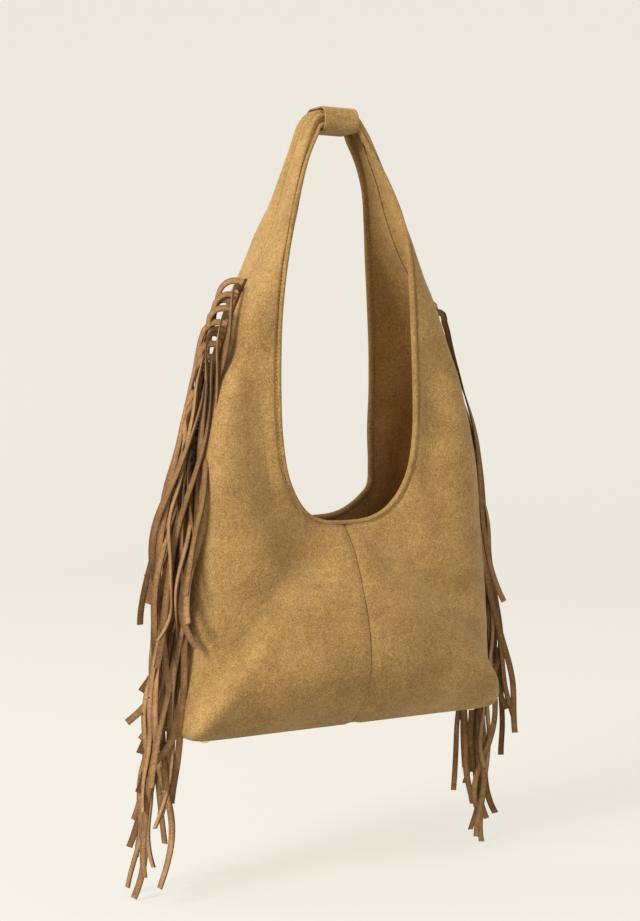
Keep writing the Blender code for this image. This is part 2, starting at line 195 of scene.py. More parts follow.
@dataclass(frozen=True)
class SuedeFinish:
    """Napped suede: brushed patches, a short mottle and a fine grain."""

    name: str
    deep: tuple[float, float, float]
    middle: tuple[float, float, float]
    light: tuple[float, float, float]
    patch_scale: float = 26.0
    mottle_scale: float = 230.0
    grain_scale: float = 850.0
    grain_height: float = 0.00035
    sheen: float = 0.25
    sheen_tint: tuple[float, float, float] = (1.0, 0.86, 0.62)
    cut_edge: tuple[float, float, float] | None = None  # colour of the painted shade on the strands' sides, for the shade between strands

    def build(self) -> bpy.types.Material:
        """Return the finish as a material."""
        bench = NodeBench(self.name)
        patch = bench.ramp(
            bench.noise(self.patch_scale, 3.0, 0.6),
            ((0.30, self.deep), (0.52, self.middle), (0.72, self.light)),
        )
        mottle = bench.ramp(
            bench.noise(self.mottle_scale, 4.0, 0.62),
            ((0.30, self.deep), (0.5, self.middle), (0.72, self.light)),
        )
        grain_value = bench.noise(self.grain_scale, 3.0, 0.7)
        tones = ((0.34, (0.62, 0.57, 0.50)), (0.5, (0.97, 0.96, 0.95)), (0.64, (1.28, 1.28, 1.25)))
        grain = bench.ramp(grain_value, tones)
        colour = bench.mix(bench.mix(patch, mottle, 0.45), grain, 1.0, "MULTIPLY")
        if self.cut_edge:
            colour = self.cut_strands(bench, colour)
        bench.link(colour, bench.shader.inputs["Base Color"])
        nap = {"Roughness": 0.92, "Specular IOR Level": 0.12, "Sheen Weight": self.sheen}
        bench.preset(bench.shader, nap)
        tint = (*self.sheen_tint, 1.0)
        bench.preset(bench.shader, {"Sheen Roughness": 0.5, "Sheen Tint": tint})
        normal = bench.bump(
            ((bench.noise(self.mottle_scale, 3.0), 0.0006), (grain_value, self.grain_height))
        )
        bench.link(normal, bench.shader.inputs["Normal"])
        return bench.material

    def cut_strands(self, bench: NodeBench, colour: bpy.types.NodeSocket) -> bpy.types.NodeSocket:
        """Return the colour with each strand's own tone and painted shade on its sides, for the shade
        between strands.

        Args:
            bench: The material's bench.
            colour: The suede's colour socket.

        Returns:
            The changed colour socket.
        """
        tone = bench.add("ShaderNodeAttribute", attribute_name="strand_tone").outputs["Fac"]
        tones = ((0.0, (0.68, 0.64, 0.58)), (0.5, (0.95, 0.93, 0.9)), (1.0, (1.2, 1.2, 1.2)))
        tint = bench.ramp(tone, tones)
        toned = bench.mix(colour, tint, 1.0, "MULTIPLY")
        # Painted shade: each strand's sides, and its faces near them, are darkened towards a deep brown
        # for the shade between strands.
        edge = bench.add("ShaderNodeAttribute", attribute_name="cut_edge").outputs["Fac"]
        wear_and_edge_shade = bench.add("ShaderNodeMix", data_type="RGBA")
        wear_and_edge_shade.inputs[7].default_value = (*self.cut_edge, 1.0)
        bench.link(edge, wear_and_edge_shade.inputs[0])
        bench.link(toned, wear_and_edge_shade.inputs[6])
        return wear_and_edge_shade.outputs[2]


@dataclass(frozen=True)
class ThreadFinish:
    """Twisted sewing thread."""

    name: str
    colour: tuple[float, float, float]

    def build(self) -> bpy.types.Material:
        """Return the finish as a material."""
        bench = NodeBench(self.name)
        dark = tuple(c * 0.7 for c in self.colour)
        colour = bench.ramp(bench.noise(1800.0, 2.0), ((0.35, dark), (0.65, self.colour)))
        bench.link(colour, bench.shader.inputs["Base Color"])
        bench.shader.inputs["Roughness"].default_value = 0.7
        return bench.material


@dataclass(frozen=True)
class MetalFinish:
    """Polished or plain metal with faint wear."""

    name: str
    colour: tuple[float, float, float]
    roughness: float

    def build(self) -> bpy.types.Material:
        """Return the finish as a material."""
        bench = NodeBench(self.name)
        wear_and_edge_shade = tuple(min(1.0, c * 0.86) for c in self.colour)
        colour = bench.ramp(bench.noise(240.0, 3.0), ((0.35, wear_and_edge_shade), (0.6, self.colour)))
        bench.link(colour, bench.shader.inputs["Base Color"])
        bench.preset(bench.shader, {"Metallic": 1.0})
        rough = bench.add("ShaderNodeMapRange")
        bench.preset(rough, {"To Min": self.roughness * 0.8, "To Max": self.roughness * 1.3})
        bench.link(bench.noise(900.0, 3.0), rough.inputs["Value"])
        bench.link(rough.outputs["Result"], bench.shader.inputs["Roughness"])
        return bench.material


@dataclass(frozen=True)
class BoardFinish:
    """Pressed fibre board."""

    name: str

    def build(self) -> bpy.types.Material:
        """Return the finish as a material."""
        bench = NodeBench(self.name)
        fibres = bench.noise(420.0, 6.0, 0.7)
        colour = bench.ramp(fibres, ((0.3, (0.03, 0.025, 0.02)), (0.7, (0.08, 0.07, 0.055))))
        bench.link(colour, bench.shader.inputs["Base Color"])
        bench.shader.inputs["Roughness"].default_value = 0.85
        bench.link(bench.bump(((fibres, 0.0003),)), bench.shader.inputs["Normal"])
        return bench.material


# ---- The sewing pattern of the shell ----

# Cross lines of one quarter, front right, from the opening edge to the outer seam, heights from the
# base, millimetres: edge point, handle leaving it, seam point, handle leaving that.
STATIONS = (
    ((0, -14.2, 522.4), (0, 0.0, 8.4), (0, 0, 537.2), (0, -11, 0)),
    ((17.5, -13.4, 521.8), (1, 0.0, 8.4), (19, 0, 536.4), (0, -10.5, 0)),
    ((24, -15, 512), (3.5, -1.0, 6.5), (29.5, 0, 525), (2, -10.5, 1)),
    ((34, -19, 494), (4, -1.0, 5), (38, 0, 504), (2.5, -11.5, 1)),
    ((44, -26, 471), (5, 1.0, 2), (49, 0, 480), (3, -13.5, 0)),
    ((53, -33, 445), (6, 3.0, 1), (60, 0, 450), (3.5, -17, 0)),
    ((60, -37, 413), (11, 0.0, 0), (75, 0, 417), (2, -21, 0)),
    ((64.5, -38, 377), (20, -1, 0), (98, 0, 380), (1, -25, 0)),
    ((67, -38, 336), (34, -2, 0), (119, 0, 334), (0, -29, 0)),
    ((68, -39, 292), (45, -3, -4), (135, 0, 280), (1, -33, 0)),
    ((67, -40, 254), (52, -8, -12), (148, 0, 215), (2, -38, 0)),
    ((62, -39.5, 223), (52, -16, -32), (156, 0, 140), (4, -42, 2)),
    ((53.5, -38, 203), (52, -23, -54), (158.5, 0, 70), (8, -45, 5)),
    ((45, -36, 191.5), (56, -28, -72), (157, 0, 25), (13, -48, 9)),
    ((37.5, -34.5, 185), (66, -32, -88), (155, 0, 0), (17, -53, 14)),
    ((30, -33, 181), (59, -37, -88), (155.6, -25, 0), (13, -38, 17)),
    ((23, -32, 178.8), (48, -41, -83), (151, -40.6, 0), (9.4, -35.4, 24)),
    ((15.5, -31, 177.4), (30, -44, -70), (133, -45, 0), (1, -39, 31)),
    ((8, -30.5, 176.9), (12, -45, -53), (75, -45, 0), (0, -53, 38)),
    ((0, -30.3, 176.7), (0, -45, -42), (0, -45, 0), (0, -56, 43)),
)
BASE_STATION = 14.0
# How far the left seam hangs further in than the right, by height above the base, millimetres.
LEFT_TUCK = (
    ((0, 3), (30, 6), (70, 10), (130, 14), (190, 17), (250, 18))
    + ((300, 17), (340, 16), (380, 13), (420, 10), (450, 7.5), (480, 4.5), (510, 1.5), (530, 0))
)
# How much further out the back's opening edge lies: (amount, height above the base, half width).
BACK_SLACK = {
    Side.LEFT: ((12.0, 204.0, 22.0), (-9.0, 472.0, 38.0)),
    Side.RIGHT: ((12.0, 204.0, 22.0), (4.0, 472.0, 38.0)),
}
# Soft ridges and valleys of the hanging panels: (x, height above the base) along each one's crest,
# its height and its half width, all in millimetres. They belong to the front.
DRAPES = (
    (((-128, 330), (-124, 250), (-110, 190), (-88, 145)), 4.2, 24),
    (((-97, 320), (-90, 250), (-74, 195), (-48, 152), (-20, 118)), -5.5, 19),
    (((-60, 60), (-20, 45), (20, 52)), 2.2, 22),
    (((92, 330), (84, 265), (80, 215), (96, 165)), -2.6, 15),
    (((118, 300), (122, 230), (112, 170)), 2.4, 20),
    (((40, 140), (85, 118), (130, 112)), -2.0, 13),
    (((30, 100), (80, 78), (125, 70)), 1.8, 16),
    (((-141, 35), (-134, 60), (-126, 90)), 3.2, 20),
    (((142, 35), (136, 60), (128, 90)), 3.0, 20),
    (((-85, 30), (-60, 42)), 1.8, 24),
)
SWAY = 5.0 * MM  # the body hangs this far left of the keeper
LAST = float(len(STATIONS) - 1)
CENTRE_GAP, SIDE_GAP = 0.8 * MM, 0.5 * MM  # what is left open between quarters at their seams
TAPE_GROOVE = 1.2 * MM  # how deep the tape's stitches pull the suede in


def bell(value: np.ndarray, centre: float, width: float) -> np.ndarray:
    """Return a smooth hump of height 1 round a centre."""
    return np.exp(-(((value - centre) / width) ** 2))


def ease(value: np.ndarray) -> np.ndarray:
    """Return 0 to 1 eased in and out, clamped outside."""
    v = np.clip(value, 0.0, 1.0)
    return v * v * (3 - 2 * v)


def distance_to_line(x: np.ndarray, z: np.ndarray, line: np.ndarray) -> np.ndarray:
    """Return each place's distance from a broken line in the plane of x and z."""
    nearest = np.full(x.shape, 1.0)
    for (ax, az), (bx, bz) in zip(line[:-1], line[1:]):
        size = (bx - ax) ** 2 + (bz - az) ** 2
        share = np.clip(((x - ax) * (bx - ax) + (z - az) * (bz - az)) / size, 0, 1)
        gap = np.hypot(x - ax - share * (bx - ax), z - az - share * (bz - az))
        nearest = np.minimum(nearest, gap)
    return nearest


def unit(v: np.ndarray) -> np.ndarray:
    """Return vectors scaled to length 1."""
    return v / np.maximum(np.linalg.norm(v, axis=-1, keepdims=True), 1e-12)


def spread(low: float, high: float, count: int) -> np.ndarray:
    """Return evenly spread numbers, ends included."""
    return np.linspace(low, high, count)


def runs(line: np.ndarray) -> np.ndarray:
    """Return the distance along a line at each of its points."""
    return np.concatenate([[0.0], np.cumsum(np.linalg.norm(np.diff(line, axis=0), axis=1))])


def sample(at: np.ndarray, run: np.ndarray, line: np.ndarray) -> np.ndarray:
    """Return the places on a line at given distances along it."""
    return np.stack([np.interp(at, run, line[:, c]) for c in range(3)], axis=-1)


def extend(points: np.ndarray) -> np.ndarray:
    """Return points with one more carried on straight at each end."""
    return np.concatenate([2 * points[:1] - points[1:2], points, 2 * points[-1:] - points[-2:-1]])


def spline(points: np.ndarray, at: np.ndarray) -> np.ndarray:
    """Return a smooth curve through points.

    Args:
        points: Points or rows of points, extended by one at each end.
        at: Places as fractional numbers, 0 at the first point that isn't an extension.

    Returns:
        The curve at those places.
    """
    i = np.minimum(at.astype(int), len(points) - 4)
    f = (at - i).reshape(-1, *[1] * (points.ndim - 1))
    p0, p1, p2, p3 = (points[i + k] for k in range(4))
    slope, curve = p2 - p0, 2 * p0 - 5 * p1 + 4 * p2 - p3
    return 0.5 * (2 * p1 + slope * f + curve * f**2 + (3 * p1 - p0 - 3 * p2 + p3) * f**3)


class ShellPattern:
    """The outer face of one quarter of the shell, as it hangs, with its folds.

    A place is a station number, 0 at the handle's top to the last at the centre seam, and a share
    across, 0 at the opening edge to 1 at the outer seam or the base.
    """

    def __init__(self, side: Side, face: Face) -> None:
        """Shape the pattern for one quarter.

        Args:
            side: Left or right.
            face: Front or back.
        """
        self.side, self.face = side, face
        table = np.array(STATIONS, dtype=float) * MM
        net = np.stack(
            [table[:, 0], table[:, 0] + table[:, 1], table[:, 2] + table[:, 3], table[:, 2]], axis=1
        )
        if side is Side.LEFT:
            height, tuck = zip(*LEFT_TUCK)
            pull = np.interp(net[:, :, 2] / MM, height, tuck) * MM
            pull *= ease(net[:, :, 0] / (90 * MM))
            net[:, :, 0] -= pull * np.array((0.0, 0.35, 0.9, 1.0))[None, :]
        if face is Face.BACK:
            slack = sum(
                amount * MM * bell(net[:, :, 2] / MM, height, width)
                for amount, height, width in BACK_SLACK[side]
            )
            share = np.array((1.0, 0.8, 0.0, 0.0))[None, :] * ease(net[:, :, 0] / (25 * MM))
            net[:, :, 0] += slack * share
        net[:, :, 2] -= BASE_DROP
        self.ends = extend(net)

    def raw(self, at: np.ndarray, t: np.ndarray) -> np.ndarray:
        """Return the smooth outer face at each station and share, before folds.

        Args:
            at: Station numbers.
            t: Shares across.

        Returns:
            Points, one row per station.
        """
        line = spline(self.ends, np.clip(at, 0.0, LAST))
        s = 1 - t
        basis = np.stack([s**3, 3 * s**2 * t, 3 * s * t**2, t**3], axis=1)
        return np.einsum("nkc,mk->nmc", line, basis)

    def normals(self, at: np.ndarray, t: np.ndarray) -> np.ndarray:
        """Return outward normals of the smooth face, square to the seams' planes."""
        h = 0.02
        down = self.raw(at + h, t) - self.raw(at - h, t)
        across = self.raw(at, np.minimum(t + h, 1.0)) - self.raw(at, np.maximum(t - h, 0.0))
        n = np.cross(down, across)
        n[at <= 0.0, :, 0] = 0.0
        n[at >= LAST, :, 0] = 0.0
        upper = at <= BASE_STATION
        n[np.ix_(upper, t >= 1.0)] *= np.array((1.0, 0.0, 1.0))
        return unit(n)

    def folds(self, at: np.ndarray, t: np.ndarray, p: np.ndarray) -> np.ndarray:
        """Return how far each place lies proud of the smooth face.

        Args:
            at: Station numbers.
            t: Shares across.
            p: The smooth points.

        Returns:
            Heights in metres.
        """
        a, across = at[:, None], t[None, :]
        inner = ease(across / 0.12) * ease((1 - across) / 0.10)
        rise = np.zeros(p.shape[:2])
        flip = float(self.side.value * self.face.value)
        for crest, height, width in DRAPES:
            line = np.array(crest, dtype=float) * MM
            near = distance_to_line(p[:, :, 0] * flip, p[:, :, 2] + BASE_DROP, line)
            rise += height * MM * bell(near, 0.0, width * MM)
        rise += 0.8 * MM * np.cos(5 * math.pi * across) * bell(a, 1.2, 1.8)
        seed = Vector((3.1 * self.side.value, 7.7 * self.face.value, 1.3))
        soft = np.empty(p.shape[:2])
        for i in range(p.shape[0]):
            for j in range(p.shape[1]):
                v = Vector(p[i, j])
                soft[i, j] = 1.5 * noise.noise(v * 17 + seed) + 0.45 * noise.noise(v * 52 + seed)
        rise = rise * inner + soft * MM * inner * ease(a / 3.0)
        rise -= TAPE_GROOVE * bell(self.from_edge(p), 3.4 * MM, 1.1 * MM)
        centre = np.where(a > 13.5, np.abs(p[:, :, 0]), 1.0)
        rise -= 1.6 * MM * np.exp(-((centre / (3.2 * MM)) ** 2))
        on_side = np.where(a < BASE_STATION - 0.3, np.abs(p[:, :, 1]), 1.0)
        rise -= 0.9 * MM * np.exp(-((on_side / (3.5 * MM)) ** 2)) * ease((a - 2.0) / 2.0)
        return rise

    @staticmethod
    def from_edge(p: np.ndarray) -> np.ndarray:
        """Return the run of each place from the opening edge, along its cross line."""
        steps = np.linalg.norm(np.diff(p, axis=1), axis=2)
        return np.concatenate([np.zeros((len(p), 1)), np.cumsum(steps, axis=1)], axis=1)

    def finish(self, p: np.ndarray) -> np.ndarray:
        """Turn front-right points into this quarter's, and let the body hang a little to one side."""
        q = p * np.array((float(self.side.value), float(self.face.value), 1.0))
        q[..., 0] -= SWAY * ease((-q[..., 2] - 0.015) / 0.16)
        return q

    def layer(self, at: np.ndarray, t: np.ndarray, depths: Sequence[float]) -> list[np.ndarray]:
        """Return the folded face at several depths under it.

        Args:
            at: Station numbers.
            t: Shares across.
            depths: Depths in metres, negative to stand proud.

        Returns:
            One array of points per depth, in place on the bag.
        """
        p, n = self.raw(at, t), self.normals(at, t)
        rise = self.folds(at, t, p)[..., None]
        layers = []
        for depth in depths:
            q = p + (rise - depth) * n
            q[..., 0] = np.maximum(q[..., 0], CENTRE_GAP / 2)
            upper = at <= BASE_STATION
            q[upper, :, 1] = np.minimum(q[upper, :, 1], -SIDE_GAP / 2)
            layers.append(self.finish(q))
        return layers


# ---- Mesh helpers ----


def mesh_object(
    name: str,
    points: np.ndarray,
    faces: list[tuple[int, ...]],
    values: dict[str, np.ndarray] | None = None,
) -> bpy.types.Object:
    """Return a smooth shaded object in the scene, made from points and faces.

    Args:
        name: The piece's name.
        points: Vertex positions.
        faces: Vertex numbers of each face.
        values: Numbers that the finish reads, by name, one for each vertex.

    Returns:
        The linked object.
    """
    mesh = bpy.data.meshes.new(name)
    mesh.from_pydata([tuple(float(c) for c in p) for p in points], [], faces)
    for key, numbers in (values or {}).items():
        layer = mesh.attributes.new(key, "FLOAT", "POINT")
        layer.data.foreach_set("value", numbers.astype(np.float32))
    mesh.validate()
    obj = bpy.data.objects.new(name, mesh)
    bpy.context.scene.collection.objects.link(obj)
    tidy_normals(obj)
    return obj


def tidy_normals(obj: bpy.types.Object, angle: float = 40.0) -> None:
    """Point all faces outwards and shade them smooth up to an angle in degrees."""
    bm = bmesh.new()
    bm.from_mesh(obj.data)
    bmesh.ops.remove_doubles(bm, verts=bm.verts[:], dist=1e-6)
    bmesh.ops.recalc_face_normals(bm, faces=bm.faces[:])
    bm.to_mesh(obj.data)
    bm.free()
    obj.data.shade_smooth()
    obj.data.set_sharp_from_angle(angle=math.radians(angle))


def tube_faces(count: int, around: int, first: int = 0, closed: bool = False) -> list[tuple[int, ...]]:
    """Return the faces between rings of points.

    Args:
        count: How many rings there are.
        around: How many points are in each.
        first: The first ring's first point.
        closed: Whether the last ring joins the first.

    Returns:
        Four-sided faces.
    """
    faces: list[tuple[int, ...]] = []
    for i in range(count if closed else count - 1):
        a, b = first + around * i, first + around * ((i + 1) % count)
        faces += [(a + j, a + (j + 1) % around, b + (j + 1) % around, b + j) for j in range(around)]
    return faces


def cap_faces(count: int, around: int, first: int = 0) -> list[tuple[int, ...]]:
    """Return the two faces that close a tube's ends."""
    last = first + around * (count - 1)
    return [tuple(range(first, first + around))[::-1], tuple(range(last, last + around))]


def lofted_shell(name: str, outer: np.ndarray, inner: np.ndarray) -> bpy.types.Object:
    """Return the closed piece between two matching grids of points.

    Args:
        name: The piece's name.
        outer: The outer grid, rows by columns.
        inner: The inner grid.

    Returns:
        The linked object.
    """
    rows, cols = outer.shape[:2]
    points = np.concatenate([outer.reshape(-1, 3), inner.reshape(-1, 3)])
    offset = rows * cols

    def number(i: int, j: int, layer: int) -> int:
        """Return the number of a grid point in its layer."""
        return layer * offset + i * cols + j

    faces: list[tuple[int, ...]] = []
    for layer in (0, 1):
        for i in range(rows - 1):
            for j in range(cols - 1):
                corners = ((i, j), (i + 1, j), (i + 1, j + 1), (i, j + 1))
                faces.append(tuple(number(*corner, layer) for corner in corners))
    rim = [(0, j) for j in range(cols)] + [(i, cols - 1) for i in range(1, rows)]
    rim += [(rows - 1, j) for j in range(cols - 2, -1, -1)] + [(i, 0) for i in range(rows - 2, 0, -1)]
    for (i, j), (k, m) in zip(rim, rim[1:] + rim[:1]):
        faces.append((number(i, j, 0), number(k, m, 0), number(k, m, 1), number(i, j, 1)))
    return mesh_object(name, points, faces)


def swept_piece(name: str, sections: np.ndarray, closed: bool) -> bpy.types.Object:
    """Return a closed section carried along a path.

    Args:
        name: The piece's name.
        sections: Sections by points by xyz.
        closed: Whether the path is a loop; open ends are capped.

    Returns:
        The linked object.
    """
    count, around = sections.shape[:2]
    faces = tube_faces(count, around, closed=closed)
    if not closed:
        faces += cap_faces(count, around)
    return mesh_object(name, sections.reshape(-1, 3), faces)


def dress(
    obj: bpy.types.Object, material: bpy.types.Material, nodes: Sequence[str] = ()
) -> bpy.types.Object:
    """Give a piece its material, its body and the nodes it stands for.

    Args:
        obj: The piece.
        material: Its finish.
        nodes: CAD nodes it replaces.

    Returns:
        The same piece.
    """
    obj.data.materials.clear()
    obj.data.materials.append(material)
    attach(obj, "root")
    if nodes:
        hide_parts(*nodes)
    LOG.info("%s: %d faces", obj.name, len(obj.data.polygons))
    return obj


# ---- The sewn shell ----


@dataclass
class SewnShell:
    """The suede quarters, the lining, the edge tapes and their stitches."""

    suede: bpy.types.Material
    tape: bpy.types.Material
    lining: bpy.types.Material
    thread: bpy.types.Material
    suede_thickness: float = 1.6 * MM
    lining_gap: float = 0.3 * MM
    lining_thickness: float = 0.7 * MM
    tape_width: float = 2.7 * MM
    stitch_pitch: float = 3.4 * MM
    patterns: dict[tuple[Side, Face], ShellPattern] = field(default_factory=dict)

    def __post_init__(self) -> None:
        """Make the four quarters' patterns."""
        self.cloth = self.suede_thickness + self.lining_gap + self.lining_thickness
        for side in Side:
            for face in Face:
                self.patterns[side, face] = ShellPattern(side, face)

    def rows(self) -> np.ndarray:
        """Return the station numbers of the fine grid."""
        parts = (spread(0, 4, 36)[:-1], spread(4, 11, 64)[:-1], spread(11, 17, 56)[:-1])
        return np.concatenate([*parts, spread(17, LAST, 20)])

    def columns(self) -> np.ndarray:
        """Return the shares across of the fine grid, closer near both edges."""
        return np.concatenate(
            [spread(0.006, 0.16, 22)[:-1], spread(0.16, 0.94, 40)[:-1], spread(0.94, 1.0, 6)]
        )

    def build_panels(self) -> None:
        """Make the four suede quarters."""
        for face in Face:
            for side in Side:
                name = f"{face.name.lower()}_panel_{side.name.lower()}"
                outer, inner = self.patterns[side, face].layer(
                    self.rows(), self.columns(), (0.0, self.suede_thickness)
                )
                piece = lofted_shell(f"suede_{name}", outer, inner)
                dress(piece, self.suede, [name])

    def build_lining(self) -> None:
        """Make the front and back linings, each in one piece from arm to arm."""
        at = self.rows()[::2]
        at = np.append(at, LAST) if at[-1] != LAST else at
        t = self.columns()[::2]
        depths = (self.suede_thickness + self.lining_gap, self.cloth)
        for face in Face:
            name = f"lining_{face.name.lower()}"
            right = self.patterns[Side.RIGHT, face].layer(at, t, depths)
            left = self.patterns[Side.LEFT, face].layer(at, t, depths)
            grids = [np.concatenate([a, b[::-1]]) for a, b in zip(right, left)]
            dress(lofted_shell(f"cloth_{name}", *grids), self.lining, [name])

    def edge_frames(self, face: Face) -> list[tuple[np.ndarray, np.ndarray, np.ndarray]]:
        """Return the opening edge as a loop of (point, direction into the suede, outward normal)."""
        frames = []
        at = np.concatenate([spread(0, 4, 60)[:-1], spread(4, LAST, 190)])
        for side in (Side.RIGHT, Side.LEFT):
            pattern = self.patterns[side, face]
            t = np.array((0.0, 0.03))
            p = pattern.raw(at, t)
            n = pattern.normals(at, t)[:, 0]
            n[at <= 0.0, 0] = 0.0
            into = unit(p[:, 1] - p[:, 0])
            into[(at <= 0.0) | (at >= LAST), 0] = 0.0
            sign = np.array((float(side.value), float(face.value), 1.0))
            rows = list(zip(pattern.finish(p[:, 0]), unit(into) * sign, n * sign))
            frames += rows if side is Side.RIGHT else rows[-2:0:-1]
        return frames

    def tape_section(self) -> np.ndarray:
        """Return the folded tape's section as (run into the suede, height above it) pairs."""
        w, under = self.tape_width / MM, self.cloth / MM
        top = [(w, -0.6), (w + 0.2, 0.6), (w * 0.88, 1.35), (w * 0.6, 1.8), (w * 0.3, 1.85), (0.1, 1.5)]
        fold = [(-0.7, 0.8), (-1.2, -0.2), (-1.3, -1.3), (-1.2, -2.4), (-0.7, -3.4), (0.1, -4.0)]
        bottom = [(w * 0.3, 1.6), (w * 0.6, 1.55), (w * 0.86, 1.2), (w + 0.1, 0.7), (w, 0.1)]
        outline = top + fold + [(x, -under - h) for x, h in bottom]
        inside = [(0.3, -under - 0.15), (0.3, 0.2)]
        return np.array(outline + inside) * MM

    def build_tapes(self) -> None:
        """Make the folded tape round each opening."""
        section = self.tape_section()
        for face in Face:
            name = f"{face.name.lower()}_opening_binding"
            rings = []
            for p, into, n in self.edge_frames(face):
                ring = p + section[:, :1] * into + section[:, 1:] * n
                if abs(into[0]) < 1e-9 and p[2] > -0.1:
                    ring[:, 0] = p[0]
                rings.append(ring)
            piece = swept_piece(f"folded_{name}", np.array(rings), closed=True)
            dress(piece, self.tape, [name])

    def build_stitches(self) -> None:
        """Sew the rows of stitches that hold each tape, seen from outside and from inside."""
        inside = self.cloth + 1.6 * MM
        rows = (("tape_stitches", 1.0, 0.75 * MM), ("tape_inner_stitches", -1.0, inside))
        for face in Face:
            loop = self.edge_frames(face)
            reach = self.tape_width + 0.5 * MM
            for name, outwards, depth in rows:
                points, inwards, out = (np.array(part) for part in zip(*loop))
                places, normals = points + inwards * reach - out * depth, outwards * out
                keep = places[:, 2] < -0.012
                start = int(np.argmax(keep))
                order = [(start + k) % len(loop) for k in range(len(loop))]
                order = [k for k in order if keep[k]]
                row = places[order], normals[order]
                piece = stitch_row(f"{face.name.lower()}_{name}", *row, self.stitch_pitch)
                dress(piece, self.thread)

    def build(self) -> None:
        """Make the whole sewn shell."""
        self.build_panels()
        self.build_lining()
        self.build_tapes()
        self.build_stitches()


def stitch_row(
    name: str,
    line: np.ndarray,
    up: np.ndarray,
    pitch: float,
    length: float = 2.3 * MM,
    radius: float = 0.28 * MM,
) -> bpy.types.Object:
    """Return a row of short thread stitches along a line.

    Args:
        name: The piece's name.
        line: Points of the line.
        up: Outward normals at those points.
        pitch: Distance from stitch to stitch.
        length: Length of one stitch.
        radius: Thread radius.

    Returns:
        The linked object.
    """
    run = runs(line)
    points: list[np.ndarray] = []
    faces: list[tuple[int, ...]] = []
    profile = ((-0.5, 0.35, -0.25), (-0.3, 0.95, 0.05), (0.3, 0.95, 0.05), (0.5, 0.35, -0.25))
    for k in range(int(run[-1] / pitch)):
        middle = (k + 0.5) * pitch
        centre = sample(middle, run, line)
        along = unit(sample(middle + 1 * MM, run, line) - centre)
        normal = unit(sample(middle, run, up))
        sideways = np.cross(along, normal)
        first = len(points)
        for place, width, lift in profile:
            middle_point = centre + along * place * length + normal * lift * MM
            for corner in range(5):
                angle = 2 * math.pi * corner / 5
                aside = math.cos(angle) * sideways + math.sin(angle) * normal
                points.append(middle_point + radius * width * aside)
        faces += tube_faces(len(profile), 5, first) + cap_faces(len(profile), 5, first)
    return mesh_object(name, np.array(points), faces)


# ---- Keeper, base and feet ----


@dataclass
class KeeperBand:
    """The suede band round the handle, as a closed loop without a lap."""

    suede: bpy.types.Material
    length: float = 34.0 * MM
    depth: float = 37.0 * MM
    height: float = 21.8 * MM
    corner: float = 9.6 * MM
    thickness: float = 1.7 * MM

    def outline(self, inset: float, squeeze: float) -> np.ndarray:
        """Return the band's outline in its YZ plane, this far inside its outer face."""
        points = []
        radius = self.corner - inset
        for quarter, (sy, sz) in enumerate(((1, 1), (-1, 1), (-1, -1), (1, -1))):
            small = radius if sz > 0 else radius * 0.8
            cy = sy * (self.depth / 2 - inset - small)
            cz = self.height / 2 + sz * (self.height / 2 - inset - small)
            for k in range(9):
                angle = math.pi / 2 * (quarter + k / 8)
                points.append((cy + small * math.cos(angle), cz + small * math.sin(angle)))
        outline = np.array(points)
        outline[:, 0] *= 1 - squeeze
        crown = np.clip(outline[:, 1] / self.height, 0, 1)
        outline[:, 1] += 0.6 * MM * crown * np.cos(outline[:, 0] / self.depth * math.pi)
        return outline

    def build(self) -> None:
        """Make the band with softly rolled edges that are slightly uneven."""
        across = np.concatenate([[-0.5, -0.485, -0.45], spread(-0.4, 0.4, 14), [0.45, 0.485, 0.5]])
        sections = []
        for x in across:
            inset = 0.55 * MM if abs(x) > 0.49 else (0.15 * MM if abs(x) > 0.47 else 0.0)
            squeeze = 0.035 * math.cos(math.pi * x)
            ring = self.outline(inset, squeeze)
            wobble = 0.25 * MM * noise.noise(Vector((x * 4.0, 2.0, 5.0)))
            sections.append(np.column_stack([np.full(len(ring), x * self.length + wobble), ring]))
        for x in across[::-1]:
            rim = abs(x) > 0.49
            inset = self.thickness - (0.5 * MM if rim else 0.0)
            ring = self.outline(inset, 0.035 * math.cos(math.pi * x))
            sections.append(np.column_stack([np.full(len(ring), x * self.length), ring]))
        piece = swept_piece("suede_handle_keeper", np.array(sections), closed=True)
        dress(piece, self.suede, ["handle_keeper"])


